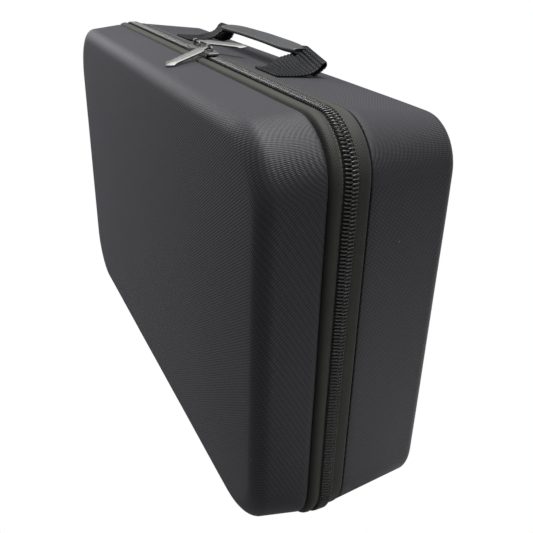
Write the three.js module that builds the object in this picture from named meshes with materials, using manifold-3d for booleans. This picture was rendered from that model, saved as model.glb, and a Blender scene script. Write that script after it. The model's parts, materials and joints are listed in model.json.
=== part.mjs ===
// Zippered carry case for game miniatures: two moulded shells joined by a fabric hinge along
// the bottom and a coil zip round the other sides, a folded-back carry handle on top, and foam
// trays inside. Millimetres. +Z up, X along the length, the lid faces -Y and the tub +Y.
// Depths are counted from the zip plane, which is y = 0 inside the assembly group.
import * as THREE from 'three';
import { mergeVertices } from 'three/addons/utils/BufferGeometryUtils.js';
import Module from 'manifold-3d';

const wasm = await Module();
wasm.setup();

// ---- Driving dimensions ------------------------------------------------------------------
const CASE_LENGTH = 411;
const CASE_HEIGHT = 250;
const LID_DEPTH = 45.5;
const TUB_DEPTH = 68.4;
const WALL = 5;
const RIM_CORNER = 31;
const LID_FACE_CORNER = 36;
const TUB_FACE_CORNER = 25;
const LID_DRAFT = 0.092;
const TUB_DRAFT = 0.103;
const LID_EDGE_ROUND = 10;
const TUB_EDGE_ROUND = 7.5;
const LID_TAPE_WIDTH = 11.2;
const TUB_TAPE_WIDTH = 12.1;
const RIM_ROUND = 2.2;
const LINING = 0.9;
const GAP = 0.3;
const HALF_GAP = 0.15;
const CORNER_STEPS = 6;
const ROUND_STEPS = 4;

const HALF_X = CASE_LENGTH / 2;
const HALF_Z = CASE_HEIGHT / 2;
// The thickest thing on the underside is the fabric hinge, whose lower face is z = 0.
const HINGE_PROUD = 2.7;
const CENTRE_Z = HALF_Z + HINGE_PROUD;
// The origin is midway between the two faces.
const SEAM_Y = (LID_DEPTH - TUB_DEPTH) / 2;

const LID = {
  side: -1,
  depth: LID_DEPTH,
  draft: LID_DRAFT,
  round: LID_EDGE_ROUND,
  faceCorner: LID_FACE_CORNER,
  tape: LID_TAPE_WIDTH,
  roll: 1.0
};
const TUB = {
  side: 1,
  depth: TUB_DEPTH,
  draft: TUB_DRAFT,
  round: TUB_EDGE_ROUND,
  faceCorner: TUB_FACE_CORNER,
  tape: TUB_TAPE_WIDTH,
  roll: 0.7
};

// ---- Finishes ----------------------------------------------------------------------------
const FINISHES = {
  shell: { color: 0x2a292b, roughness: 0.85, metalness: 0 },
  lining: { color: 0x1b1b1d, roughness: 0.95, metalness: 0 },
  tape: { color: 0x2b2c29, roughness: 0.8, metalness: 0 },
  coil: { color: 0x1d1e1f, roughness: 0.4, metalness: 0 },
  binding: { color: 0x1a1a1b, roughness: 0.9, metalness: 0 },
  metal: { color: 0x6c6d6b, roughness: 0.35, metalness: 1 },
  grip: { color: 0x3c3d3f, roughness: 0.7, metalness: 0 },
  webbing: { color: 0x1c1d20, roughness: 0.85, metalness: 0 },
  plate: { color: 0x303234, roughness: 0.55, metalness: 0 },
  foam: { color: 0x2e2f32, roughness: 0.98, metalness: 0 }
};

// ---- Solids from rings -------------------------------------------------------------------
function facingOut(geometry) {
  const position = geometry.attributes.position;
  const index = geometry.index.array;
  const a = new THREE.Vector3();
  const b = new THREE.Vector3();
  const c = new THREE.Vector3();
  let volume = 0;
  for (let i = 0; i < index.length; i += 3) {
    a.fromBufferAttribute(position, index[i]);
    b.fromBufferAttribute(position, index[i + 1]);
    c.fromBufferAttribute(position, index[i + 2]);
    volume += a.dot(b.cross(c));
  }
  if (volume < 0) {
    for (let i = 0; i < index.length; i += 3) {
      const first = index[i];
      index[i] = index[i + 1];
      index[i + 1] = first;
    }
  }
  geometry.computeVertexNormals();
  return geometry;
}

// rings: lists of points of equal length. 'ends' says how the stack of rings is closed:
// 'caps' puts a flat face on the first and last ring, 'loop' joins the last ring to the first.
function stackRings(rings, ends) {
  const count = rings[0].length;
  const positions = [];
  const indices = [];
  for (const ring of rings) {
    for (const point of ring) {
      positions.push(point.x, point.y, point.z);
    }
  }
  const bands = ends === 'loop' ? rings.length : rings.length - 1;
  for (let r = 0; r < bands; r += 1) {
    const near = r * count;
    const far = ((r + 1) % rings.length) * count;
    for (let i = 0; i < count; i += 1) {
      const j = (i + 1) % count;
      indices.push(near + i, near + j, far + j, near + i, far + j, far + i);
    }
  }
  if (ends === 'caps') {
    addCap(rings[0], 0, positions, indices, false);
    addCap(rings[rings.length - 1], (rings.length - 1) * count, positions, indices, true);
  }
  const geometry = new THREE.BufferGeometry();
  geometry.setAttribute('position', new THREE.Float32BufferAttribute(positions, 3));
  geometry.setIndex(indices);
  return facingOut(geometry);
}

function addCap(ring, start, positions, indices, last) {
  const middle = new THREE.Vector3();
  for (const point of ring) {
    middle.addScaledVector(point, 1 / ring.length);
  }
  const hub = positions.length / 3;
  positions.push(middle.x, middle.y, middle.z);
  for (let i = 0; i < ring.length; i += 1) {
    const j = (i + 1) % ring.length;
    if (last) {
      indices.push(start + i, start + j, hub);
    } else {
      indices.push(start + j, start + i, hub);
    }
  }
}

// ---- Case outline ------------------------------------------------------------------------
// Points of a rounded rectangle in the XZ plane with their outward directions, from the middle
// of the bottom's left end, up the left side, over the top and down the right side.
function outline(halfX, halfZ, radius) {
  const points = [];
  const corners = [
    { x: -1, z: -1, from: 270 },
    { x: -1, z: 1, from: 180 },
    { x: 1, z: 1, from: 90 },
    { x: 1, z: -1, from: 0 }
  ];
  for (const corner of corners) {
    for (let i = 0; i <= CORNER_STEPS; i += 1) {
      const angle = THREE.MathUtils.degToRad(corner.from - (90 * i) / CORNER_STEPS);
      const outX = Math.cos(angle);
      const outZ = Math.sin(angle);
      points.push({
        x: corner.x * (halfX - radius) + radius * outX,
        z: corner.z * (halfZ - radius) + radius * outZ,
        outX,
        outZ
      });
    }
  }
  return points;
}

function ringAt(inset, radius, y) {
  const points = outline(HALF_X - inset, HALF_Z - inset, radius);
  return points.map((p) => new THREE.Vector3(p.x, y, p.z));
}

function cornerAt(half, depth) {
  const share = THREE.MathUtils.clamp((depth - half.tape) / (half.depth - half.tape), 0, 1);
  return THREE.MathUtils.lerp(RIM_CORNER, half.faceCorner, share);
}

function draftInset(half, depth) {
  return (depth - half.tape) * Math.tan(half.draft);
}

// A tray-shaped wall: the skin from 'outer' to 'inner' millimetres inside the case's surface.
// The open edge lies at 'rim', and a rounded lip there is 'lip' deep on the outside.
function traySolid(half, outer, inner, rim, lip) {
  const rings = [];
  const skins = [
    { inset: outer, order: -1 },
    { inset: inner, order: 1 }
  ];
  for (const skin of skins) {
    const round = Math.max(half.round - skin.inset, 2);
    const floor = half.depth - skin.inset;
    const turn = floor - round;
    const wallInset = draftInset(half, turn);
    const stations = [];
    if (skin.order < 0 && lip > 0) {
      stations.push([rim, draftInset(half, rim) + lip]);
      stations.push([rim + lip * 0.3, draftInset(half, rim) + lip * 0.35]);
      stations.push([rim + lip, draftInset(half, rim + lip)]);
    } else {
      stations.push([rim, draftInset(half, rim)]);
    }
    for (let i = 0; i <= ROUND_STEPS; i += 1) {
      const angle = (Math.PI / 2) * (i / ROUND_STEPS);
      stations.push([turn + round * Math.sin(angle), wallInset + round * (1 - Math.cos(angle))]);
    }
    if (skin.order < 0) {
      stations.reverse();
    }
    for (const [depth, inset] of stations) {
      const radius = cornerAt(half, depth) - skin.inset;
      rings.push(ringAt(inset + skin.inset, radius, half.side * depth));
    }
  }
  return stackRings(rings, 'caps');
}

// Sweeps a section of [depth, proud] points along outline points.
function sweepSection(half, path, section, ends) {
  const rings = path.map((p) => section.map(([depth, proud]) => new THREE.Vector3(
    p.x + p.outX * proud,
    half.side * depth,
    p.z + p.outZ * proud
  )));
  return stackRings(rings, ends);
}

function rimPath() {
  return outline(HALF_X, HALF_Z, RIM_CORNER);
}

// ---- Soft box ----------------------------------------------------------------------------
function roundedRectangle(width, height, radius, steps) {
  const shape = new THREE.Shape();
  const x = width / 2;
  const y = height / 2;
  shape.absarc(x - radius, y - radius, radius, 0, Math.PI / 2, false);
  shape.absarc(-x + radius, y - radius, radius, Math.PI / 2, Math.PI, false);
  shape.absarc(-x + radius, -y + radius, radius, Math.PI, 1.5 * Math.PI, false);
  shape.absarc(x - radius, -y + radius, radius, 1.5 * Math.PI, 2 * Math.PI, false);
  return new THREE.Shape(shape.getPoints(steps));
}

// Extrudes an XZ outline along +Y from yStart.
function slab(shape, yStart, thickness) {
  const geometry = new THREE.ExtrudeGeometry(shape, { depth: thickness, bevelEnabled: false });
  geometry.rotateX(Math.PI / 2);
  geometry.translate(0, yStart + thickness, 0);
  return geometry;
}

function boxBetween(low, high) {
  const size = new THREE.Vector3().subVectors(high, low);
  const geometry = new THREE.BoxGeometry(size.x, size.y, size.z);
  geometry.translate((low.x + high.x) / 2, (low.y + high.y) / 2, (low.z + high.z) / 2);
  return geometry;
}

// ---- Joining with manifold ---------------------------------------------------------------
function toManifold(geometry) {
  const bare = geometry.clone();
  bare.deleteAttribute('normal');
  if (bare.attributes.uv) {
    bare.deleteAttribute('uv');
  }
  const merged = mergeVertices(bare, 1e-4);
  return new wasm.Manifold(new wasm.Mesh({
    numProp: 3,
    vertProperties: Float32Array.from(merged.attributes.position.array),
    triVerts: Uint32Array.from(merged.index.array)
  }));
}

function joined(...geometries) {
  let solid = toManifold(geometries[0]);
  for (const geometry of geometries.slice(1)) {
    solid = solid.add(toManifold(geometry));
  }
  const mesh = solid.getMesh();
  const result = new THREE.BufferGeometry();
  result.setAttribute('position', new THREE.Float32BufferAttribute(mesh.vertProperties, 3));
  result.setIndex(Array.from(mesh.triVerts));
  result.computeVertexNormals();
  return result;
}

// ---- Assembly ----------------------------------------------------------------------------
const carryCase = new THREE.Group();
carryCase.position.set(0, SEAM_Y, CENTRE_Z);

function addPart(name, geometry, finish) {
  const mesh = new THREE.Mesh(geometry, new THREE.MeshStandardMaterial(FINISHES[finish]));
  mesh.name = name;
  carryCase.add(mesh);
  return mesh;
}

// ---- Shells and linings ------------------------------------------------------------------
function addShell(name, half) {
  const rim = half.tape + HALF_GAP;
  addPart(`${name}_shell`, traySolid(half, 0, WALL, rim, RIM_ROUND), 'shell');
  const liningOuter = WALL + GAP;
  addPart(`${name}_lining`, traySolid(half, liningOuter, liningOuter + LINING, rim, 0), 'lining');
}

// ---- Zip ---------------------------------------------------------------------------------
// Flat by the coil, then a soft roll, then down into the seam at the shell's lip.
const TAPE_FLAT = -0.25;
const TAPE_BACK = -3.5;
const SEAM_DROP = -2.3;
function tapeSection(half) {
  const seam = half.tape - HALF_GAP;
  return [
    [HALF_GAP, TAPE_FLAT],
    [COIL_WIDTH + HALF_GAP, TAPE_FLAT],
    [seam * 0.42, half.roll * 0.35],
    [seam * 0.56, half.roll],
    [seam * 0.73, half.roll * 0.9],
    [seam * 0.87, half.roll * 0.05],
    [seam * 0.96, SEAM_DROP * 0.5],
    [seam, SEAM_DROP],
    [seam, TAPE_BACK],
    [HALF_GAP, TAPE_BACK]
  ];
}

const COIL_WIDTH = 3.75;
const COIL_TOP = 2.55;
const COIL_BASE = 0.1;
// The zip's coil stops on the underside, this far from the middle.
const COIL_END_X = 150;
function coilSection() {
  return [
    [HALF_GAP, COIL_BASE],
    [COIL_WIDTH - 0.3, COIL_BASE],
    [COIL_WIDTH, 1.0],
    [COIL_WIDTH - 0.5, 2.1],
    [COIL_WIDTH - 1.6, COIL_TOP],
    [HALF_GAP, COIL_TOP]
  ];
}

function coilPath() {
  const start = { x: -COIL_END_X, z: -HALF_Z, outX: 0, outZ: -1 };
  const end = { x: COIL_END_X, z: -HALF_Z, outX: 0, outZ: -1 };
  return [start, ...rimPath(), end];
}

const BINDING_FROM = 1.5;
const BINDING_TOP = -3.8;
const BINDING_BACK = -6.1;
function bindingSection(half) {
  const end = half.tape - HALF_GAP;
  return [
    [BINDING_FROM, BINDING_TOP],
    [end, BINDING_TOP],
    [end, BINDING_BACK],
    [BINDING_FROM, BINDING_BACK]
  ];
}

function addRim(name, half) {
  addPart(`${name}_zip_tape`, sweepSection(half, rimPath(), tapeSection(half), 'loop'), 'tape');
  addPart(`${name}_zip_coil`, sweepSection(half, coilPath(), coilSection(), 'caps'), 'coil');
  const binding = sweepSection(half, rimPath(), bindingSection(half), 'loop');
  addPart(`${name}_rim_binding`, binding, 'binding');
}

const HINGE_HALF_LENGTH = 128;
const HINGE_DEPTH = 9.6;
const HINGE_THICK = 1.2;
function addHinge() {
  const low = new THREE.Vector3(-HINGE_HALF_LENGTH, 2 * HALF_GAP, -CENTRE_Z);
  const high = new THREE.Vector3(HINGE_HALF_LENGTH, HINGE_DEPTH, -CENTRE_Z + HINGE_THICK);
  addPart('fabric_hinge', boxBetween(low, high), 'tape');
}

// A folded cloth tab that closes each end of the coil, sewn to the tub's tape.
const END_TAB_LENGTH = 14;
const END_TAB_DEPTH = 6;
function addEndTab(name, direction) {
  const near = COIL_END_X - GAP;
  const xs = [direction * near, direction * (near - END_TAB_LENGTH)];
  const low = new THREE.Vector3(Math.min(...xs), 2 * HALF_GAP, -CENTRE_Z + GAP);
  const high = new THREE.Vector3(Math.max(...xs), END_TAB_DEPTH, -CENTRE_Z + 1.5);
  addPart(name, boxBetween(low, high), 'tape');
}

// ---- Sliders and pulls -------------------------------------------------------------------
const SLIDER_LENGTH = 19;
const SLIDER_WIDTH = 10.6;
const SLIDER_PLATE = 1.6;
const SLIDER_BASE_Z = HALF_Z + COIL_TOP + GAP;
const SLIDER_FLANGE = 1.0;
const SLIDER_SKIRT = 1.7;
const BAIL_HALF = 5.4;
const BAIL_BAR = 0.8;
const BAIL_Z = SLIDER_BASE_Z + SLIDER_PLATE + 3.0;
const SLIDER_LEFT_X = -5;
const SLIDER_RIGHT_X = 19;

function sliderPlateShape(nose) {
  const shape = new THREE.Shape();
  const half = SLIDER_LENGTH / 2;
  const side = SLIDER_WIDTH / 2;
  shape.moveTo(-nose * half, -side * 0.72);
  shape.lineTo(nose * half * 0.35, -side);
  shape.quadraticCurveTo(nose * half * 0.95, -side, nose * half, -side * 0.35);
  shape.lineTo(nose * half, side * 0.35);
  shape.quadraticCurveTo(nose * half * 0.95, side, nose * half * 0.35, side);
  shape.lineTo(-nose * half, side * 0.72);
  return shape;
}

function sliderGeometry(centreX, nose) {
  const plate = new THREE.ExtrudeGeometry(sliderPlateShape(nose), {
    depth: SLIDER_PLATE,
    bevelEnabled: false,
    curveSegments: 4
  });
  plate.translate(centreX, 0, SLIDER_BASE_Z);
  const flange = boxBetween(
    new THREE.Vector3(centreX - SLIDER_LENGTH * 0.36, -SLIDER_WIDTH / 2 + 0.15,
      SLIDER_BASE_Z - SLIDER_SKIRT),
    new THREE.Vector3(centreX + SLIDER_LENGTH * 0.36, -SLIDER_WIDTH / 2 + SLIDER_FLANGE,
      SLIDER_BASE_Z + 0.5)
  );
  const bar = new THREE.CylinderGeometry(BAIL_BAR, BAIL_BAR, 2 * BAIL_HALF, 8);
  bar.rotateZ(Math.PI / 2);
  bar.translate(centreX, 0, BAIL_Z);
  const posts = [-1, 1].map((end) => boxBetween(
    new THREE.Vector3(centreX + end * BAIL_HALF - 0.9, -1.1, SLIDER_BASE_Z + SLIDER_PLATE / 2),
    new THREE.Vector3(centreX + end * BAIL_HALF + 0.9, 1.1, BAIL_Z + BAIL_BAR)
  ));
  return joined(plate, flange, bar, ...posts);
}

const PULL_LENGTH = 38;
const PULL_WIDTH = 6.4;
const PULL_NECK = 3.0;
const PULL_THICK = 1.7;
const KNUCKLE_RADIUS = 1.9;
const KNUCKLE_BORE = 1.1;
const KNUCKLE_WIDTH = 2.8;
const PULL_START = 3.0;
const LUG_FROM = 1.3;
const LUG_TO = 3.6;

function pullShape() {
  const shape = new THREE.Shape();
  const half = PULL_WIDTH / 2;
  const shoulder = PULL_LENGTH * 0.2;
  const waist = PULL_LENGTH * 0.8;
  shape.moveTo(PULL_START, -PULL_NECK / 2);
  shape.lineTo(shoulder * 0.7, -PULL_NECK / 2);
  shape.lineTo(shoulder, -half * 0.85);
  shape.lineTo(waist, -half * 0.7);
  shape.lineTo(PULL_LENGTH * 0.89, -half);
  shape.lineTo(PULL_LENGTH, 0);
  shape.lineTo(PULL_LENGTH * 0.89, half);
  shape.lineTo(waist, half * 0.7);
  shape.lineTo(shoulder, half * 0.85);
  shape.lineTo(shoulder * 0.7, PULL_NECK / 2);
  shape.lineTo(PULL_START, PULL_NECK / 2);
  return shape;
}

// heading: the way the pull lies in plan, counted from +X; droop: its slope below level.
function pullGeometry(x, heading, droop) {
  const plate = new THREE.ExtrudeGeometry(pullShape(), { depth: PULL_THICK, bevelEnabled: false });
  plate.translate(0, 0, -PULL_THICK / 2);
  plate.rotateY(droop);
  plate.rotateZ(heading);
  const ring = new THREE.Shape();
  ring.absarc(0, 0, KNUCKLE_RADIUS, 0, 2 * Math.PI, false);
  const bore = new THREE.Path();
  bore.absarc(0, 0, KNUCKLE_BORE, 0, 2 * Math.PI, true);
  ring.holes.push(bore);
  const knuckle = new THREE.ExtrudeGeometry(ring, {
    depth: KNUCKLE_WIDTH,
    bevelEnabled: false,
    curveSegments: 5
  });
  knuckle.translate(0, 0, -KNUCKLE_WIDTH / 2);
  knuckle.rotateY(Math.PI / 2);
  const side = Math.sign(heading);
  const lug = boxBetween(
    new THREE.Vector3(-KNUCKLE_WIDTH / 2, Math.min(side * LUG_FROM, side * LUG_TO), -0.9),
    new THREE.Vector3(KNUCKLE_WIDTH / 2, Math.max(side * LUG_FROM, side * LUG_TO), 0.8)
  );
  const pull = joined(plate, knuckle, lug);
  pull.translate(x, 0, BAIL_Z);
  return pull;
}

const PULL_LEFT_X = SLIDER_LEFT_X - 2.5;
const PULL_RIGHT_X = SLIDER_RIGHT_X + 0.5;
const PULL_LEFT_HEADING = THREE.MathUtils.degToRad(50);
const PULL_RIGHT_HEADING = THREE.MathUtils.degToRad(-66);
const PULL_LEFT_DROOP = THREE.MathUtils.degToRad(3);
const PULL_RIGHT_DROOP = THREE.MathUtils.degToRad(12.5);

function addZipHardware() {
  addPart('zip_slider_left', sliderGeometry(SLIDER_LEFT_X, 1), 'metal');
  addPart('zip_slider_right', sliderGeometry(SLIDER_RIGHT_X, -1), 'metal');
  addPart('zip_pull_left', pullGeometry(PULL_LEFT_X, PULL_LEFT_HEADING, PULL_LEFT_DROOP), 'metal');
  addPart('zip_pull_right',
    pullGeometry(PULL_RIGHT_X, PULL_RIGHT_HEADING, PULL_RIGHT_DROOP), 'metal');
}

// ---- Handle ------------------------------------------------------------------------------
const STRAP_INNER_X = 62;
const STRAP_OUTER_X = 88;
const STRAP_THICK = 1.6;
const HANDLE_PIVOT_DEPTH = 18;
const HANDLE_PIVOT_RISE = STRAP_THICK / 2 + GAP;
const GRIP_HALF_LENGTH = STRAP_INNER_X - GAP;
const GRIP_WIDTH = 17;
const GRIP_THICK = 4.8;
const GRIP_DEPTH = 44.5;
const GRIP_END_Z = 134.9;
const GRIP_ARCH = 1.3;
const GRIP_STATIONS = 8;

function tubTopZ(depth) {
  return HALF_Z - draftInset(TUB, depth);
}

function gripGeometry() {
  const rings = [];
  const across = GRIP_WIDTH / 2 - GRIP_THICK / 2;
  for (let i = 0; i <= GRIP_STATIONS; i += 1) {
    const share = (2 * i) / GRIP_STATIONS - 1;
    const z = GRIP_END_Z + GRIP_ARCH * (1 - share * share);
    const ring = [];
    for (const end of [1, -1]) {
      for (let k = 0; k <= 4; k += 1) {
        const angle = Math.PI * (k / 4) - Math.PI / 2;
        ring.push(new THREE.Vector3(
          share * GRIP_HALF_LENGTH,
          GRIP_DEPTH + end * (across + (GRIP_THICK / 2) * Math.cos(angle)),
          z + end * (GRIP_THICK / 2) * Math.sin(angle)
        ));
      }
    }
    rings.push(ring);
  }
  return stackRings(rings, 'caps');
}

// Each strap leaves the tub flat, climbs to a crest beside the grip and turns down behind it.
// Columns: depth, height above the tub's top at the inner edge, and at the outer edge.
const STRAP_RUN = [
  [HANDLE_PIVOT_DEPTH, HANDLE_PIVOT_RISE, HANDLE_PIVOT_RISE],
  [25, 1.6, 1.2],
  [31, 3.9, 1.5],
  [37, 7.0, 2.8],
  [42, 9.6, 4.6],
  [47, 12.6, 7.6],
  [50.5, 15.4, 10.0],
  [54, 16.4, 10.6],
  [57.5, 13.6, 8.0],
  [58.2, 9.6, 4.6]
];

function strapGeometry(direction) {
  const edges = [STRAP_INNER_X, STRAP_OUTER_X].map((x, column) => STRAP_RUN.map((row) => (
    new THREE.Vector3(direction * x, row[0], tubTopZ(row[0]) + row[1 + column])
  )));
  const rings = STRAP_RUN.map((row, i) => {
    const corners = [];
    for (const edge of edges) {
      const before = edge[Math.max(i - 1, 0)];
      const after = edge[Math.min(i + 1, edge.length - 1)];
      const along = new THREE.Vector3().subVectors(after, before).normalize();
      const up = new THREE.Vector3(0, -along.z, along.y).normalize();
      corners.push(edge[i].clone().addScaledVector(up, STRAP_THICK / 2));
      corners.push(edge[i].clone().addScaledVector(up, -STRAP_THICK / 2));
    }
    return [corners[0], corners[1], corners[3], corners[2]];
  });
  return stackRings(rings, 'caps');
}

// Inside the tub the straps end on a plate that spreads the load over the shell's top wall.
const PLATE_LOW_Z = 113.6;
const PLATE_HIGH_Z = 115.4;
const PLATE_HALF_LENGTH = 98;
const PLATE_DEPTHS = [15, 36];
const TAIL_DEPTHS = [16, 28];
function addHandle() {
  addPart('handle_grip', gripGeometry(), 'grip');
  addPart('handle_strap_left', strapGeometry(-1), 'webbing');
  addPart('handle_strap_right', strapGeometry(1), 'webbing');
  addPart('handle_backing_plate', boxBetween(
    new THREE.Vector3(-PLATE_HALF_LENGTH, PLATE_DEPTHS[0], PLATE_LOW_Z),
    new THREE.Vector3(PLATE_HALF_LENGTH, PLATE_DEPTHS[1], PLATE_HIGH_Z)
  ), 'plate');
  for (const [name, direction] of [['left', -1], ['right', 1]]) {
    const xs = [direction * STRAP_INNER_X, direction * STRAP_OUTER_X];
    addPart(`strap_tail_${name}`, boxBetween(
      new THREE.Vector3(Math.min(...xs), TAIL_DEPTHS[0], PLATE_HIGH_Z + GAP),
      new THREE.Vector3(Math.max(...xs), TAIL_DEPTHS[1], PLATE_HIGH_Z + GAP + 0.9)
    ), 'webbing');
  }
}

// ---- Foam --------------------------------------------------------------------------------
const TRAY_WIDTH = 193;
const TRAY_HEIGHT = 225;
const TRAY_CORNER = 20;
const TRAY_CENTRE_X = TRAY_WIDTH / 2 + 1;
const TRAY_COLUMNS = 3;
const TRAY_ROWS = 4;
const TRAY_WALL = 9;
const CELL_CORNER = 5;
const TRAY_FRONT = 1;
const TRAY_FLOOR = 47;
const TRAY_BASE_THICK = 6;
const PAD_THICK = 8;

function cellOutlines() {
  const width = (TRAY_WIDTH - (TRAY_COLUMNS + 1) * TRAY_WALL) / TRAY_COLUMNS;
  const height = (TRAY_HEIGHT - (TRAY_ROWS + 1) * TRAY_WALL) / TRAY_ROWS;
  const cells = [];
  for (let column = 0; column < TRAY_COLUMNS; column += 1) {
    for (let row = 0; row < TRAY_ROWS; row += 1) {
      const x = (column - (TRAY_COLUMNS - 1) / 2) * (width + TRAY_WALL);
      const z = (row - (TRAY_ROWS - 1) / 2) * (height + TRAY_WALL);
      const points = roundedRectangle(width, height, CELL_CORNER, 2).getPoints();
      cells.push(points.map((p) => new THREE.Vector2(p.x + x, p.y + z)));
    }
  }
  return cells;
}

function addTray(name, centreX) {
  const grid = roundedRectangle(TRAY_WIDTH, TRAY_HEIGHT, TRAY_CORNER, 3);
  for (const cell of cellOutlines()) {
    grid.holes.push(new THREE.Path(cell));
  }
  const layer = slab(grid, TRAY_FRONT, TRAY_FLOOR - TRAY_FRONT);
  layer.translate(centreX, 0, 0);
  addPart(`foam_grid_${name}`, layer, 'foam');
  const sheet = roundedRectangle(TRAY_WIDTH, TRAY_HEIGHT, TRAY_CORNER, 3);
  const base = slab(sheet, TRAY_FLOOR + GAP, TRAY_BASE_THICK);
  base.translate(centreX, 0, 0);
  addPart(`foam_sheet_${name}`, base, 'foam');
}

const PAD_LENGTH = 385;
const PAD_HEIGHT = 224;
const PAD_CORNER = 27;
const LID_PAD_FRONT = 0.6;
const LID_PAD_BACK = 38;
function addFoam() {
  const pad = roundedRectangle(PAD_LENGTH, PAD_HEIGHT, PAD_CORNER, 4);
  const padStart = TRAY_FLOOR + TRAY_BASE_THICK + 2 * GAP;
  addPart('foam_base_pad', slab(pad, padStart, PAD_THICK), 'foam');
  addTray('left', -TRAY_CENTRE_X);
  addTray('right', TRAY_CENTRE_X);
  const lidPad = slab(pad, -LID_PAD_BACK, LID_PAD_BACK - LID_PAD_FRONT);
  addPart('foam_lid_pad', lidPad, 'foam');
}

addShell('tub', TUB);
addShell('lid', LID);
addRim('tub', TUB);
addRim('lid', LID);
addHinge();
addEndTab('zip_end_tab_left', -1);
addEndTab('zip_end_tab_right', 1);
addZipHardware();
addHandle();
addFoam();

export default carryCase;
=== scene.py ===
"""Looks of a zippered carry case for game miniatures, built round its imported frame.

Shapes are worked out in case millimetres: x along the length, y the depth from the zip plane
(the lid is on the minus side), z the height above the middle. to_frame() turns them into metres.
"""

import json
import math

import bmesh
import bpy
from mathutils import Matrix, Vector, noise


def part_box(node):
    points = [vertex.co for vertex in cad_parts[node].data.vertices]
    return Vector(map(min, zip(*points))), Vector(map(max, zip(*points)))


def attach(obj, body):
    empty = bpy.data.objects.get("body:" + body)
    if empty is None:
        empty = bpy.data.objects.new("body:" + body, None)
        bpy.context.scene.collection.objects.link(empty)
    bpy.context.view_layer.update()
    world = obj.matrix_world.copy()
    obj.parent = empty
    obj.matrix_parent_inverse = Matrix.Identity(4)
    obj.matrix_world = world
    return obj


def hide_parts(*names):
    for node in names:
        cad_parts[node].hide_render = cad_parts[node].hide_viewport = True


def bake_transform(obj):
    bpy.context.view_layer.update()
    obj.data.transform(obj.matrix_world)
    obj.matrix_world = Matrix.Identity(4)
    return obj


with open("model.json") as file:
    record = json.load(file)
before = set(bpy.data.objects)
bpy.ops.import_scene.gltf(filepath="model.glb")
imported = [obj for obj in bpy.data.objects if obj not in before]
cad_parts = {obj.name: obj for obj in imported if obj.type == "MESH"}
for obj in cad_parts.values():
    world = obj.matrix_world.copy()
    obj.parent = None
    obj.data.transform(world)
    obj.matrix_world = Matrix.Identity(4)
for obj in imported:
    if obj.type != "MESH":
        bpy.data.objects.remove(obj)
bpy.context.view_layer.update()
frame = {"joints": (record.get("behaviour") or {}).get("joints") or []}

# ---- Driving dimensions, in millimetres -----------------------------------------------------
MM = 0.001
GAP = 0.3
TUB_LOW, TUB_HIGH = (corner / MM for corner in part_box("tub_shell"))
HALF_X = TUB_HIGH.x
HALF_Z = (TUB_HIGH.z - TUB_LOW.z) / 2
CENTRE_Z = (TUB_HIGH.z + TUB_LOW.z) / 2
LID_HINGE = next(joint for joint in frame["joints"] if joint["name"] == "lid_hinge")
SEAM_Y = LID_HINGE["pos_m"][1] / MM
CASE_ORIGIN = Vector((0, SEAM_Y, CENTRE_Z))
WALL = 5.0
LINING = 0.9
RIM_CORNER = 31.0
CORNER_STEPS = 14
LONG_STEPS = 26
SHORT_STEPS = 16
WEAVE_PITCH = 1.5
RIB_PITCH = 2.5
DOT_PITCH = 2.2
CLOTH_UV = "cloth"
# A stack of rings closes to a point at its last ring, which keeps this little short of the middle.
NEARLY_CLOSED = 0.9999


def to_frame(point):
    """A point in case millimetres as a place in the frame, in metres."""
    return Vector((point[0], point[1] + SEAM_Y, point[2] + CENTRE_Z)) * MM


def case_box(node):
    """The corners of a CAD node's box, in case millimetres."""
    return [corner / MM - CASE_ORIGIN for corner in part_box(node)]


class Half:
    """One of the two moulded shells. side is -1 for the lid and +1 for the tub."""

    def __init__(self, body, side, draft, edge_round, face_corner, crown, lip, roll, seam_drop):
        low, high = (corner.y / MM - SEAM_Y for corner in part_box(f"{body}_shell"))
        self.body = body
        self.side = side
        self.depth = max(abs(low), abs(high))
        self.tape = min(abs(low), abs(high)) - GAP
        self.draft = draft
        self.edge_round = edge_round
        self.face_corner = face_corner
        self.crown = crown
        self.lip = lip
        self.roll = roll
        self.seam_drop = seam_drop

    def inset(self, depth):
        """How far the wall leans in at a depth."""
        return (depth - self.tape) * math.tan(self.draft)

    def corner(self, depth):
        """The outline's corner radius at a depth."""
        share = (depth - self.tape) / (self.depth - self.tape)
        share = min(max(share, 0.0), 1.0)
        return RIM_CORNER + (self.face_corner - RIM_CORNER) * share


# The lid's shell turns in deeply at the rim and makes a dark seam. The tub's lies almost level with
# its tape.
LID = Half("lid", side=-1, draft=0.092, edge_round=10.0, face_corner=36.0, crown=1.2, lip=2.0,
           roll=1.5, seam_drop=-2.3)
TUB = Half("tub", side=1, draft=0.103, edge_round=7.5, face_corner=25.0, crown=1.0, lip=0.8,
           roll=0.4, seam_drop=-0.6)


# ---- Nodes ----------------------------------------------------------------------------------
def linear(colour):
    """An sRGB hex colour as linear RGBA."""
    parts = [int(colour[i:i + 2], 16) / 255 for i in (1, 3, 5)]
    return [c / 12.92 if c <= 0.04045 else ((c + 0.055) / 1.055) ** 2.4 for c in parts] + [1.0]


def add_node(tree, kind, inputs=None, **settings):
    """Adds a node. inputs maps a socket's name or number to a value or to the output that feeds it."""
    node = tree.nodes.new(kind)
    for name, value in settings.items():
        setattr(node, name, value)
    for key, value in (inputs or {}).items():
        if isinstance(value, bpy.types.NodeSocket):
            tree.links.new(value, node.inputs[key])
        else:
            node.inputs[key].default_value = value
    return node


def calc(tree, operation, *values):
    """The result of one Math node."""
    return add_node(tree, "ShaderNodeMath", dict(enumerate(values)), operation=operation).outputs[0]


def start_material(name):
    """An empty material and its tree."""
    material = bpy.data.materials.new(name)
    material.use_nodes = True
    material.node_tree.nodes.clear()
    return material, material.node_tree


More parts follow.
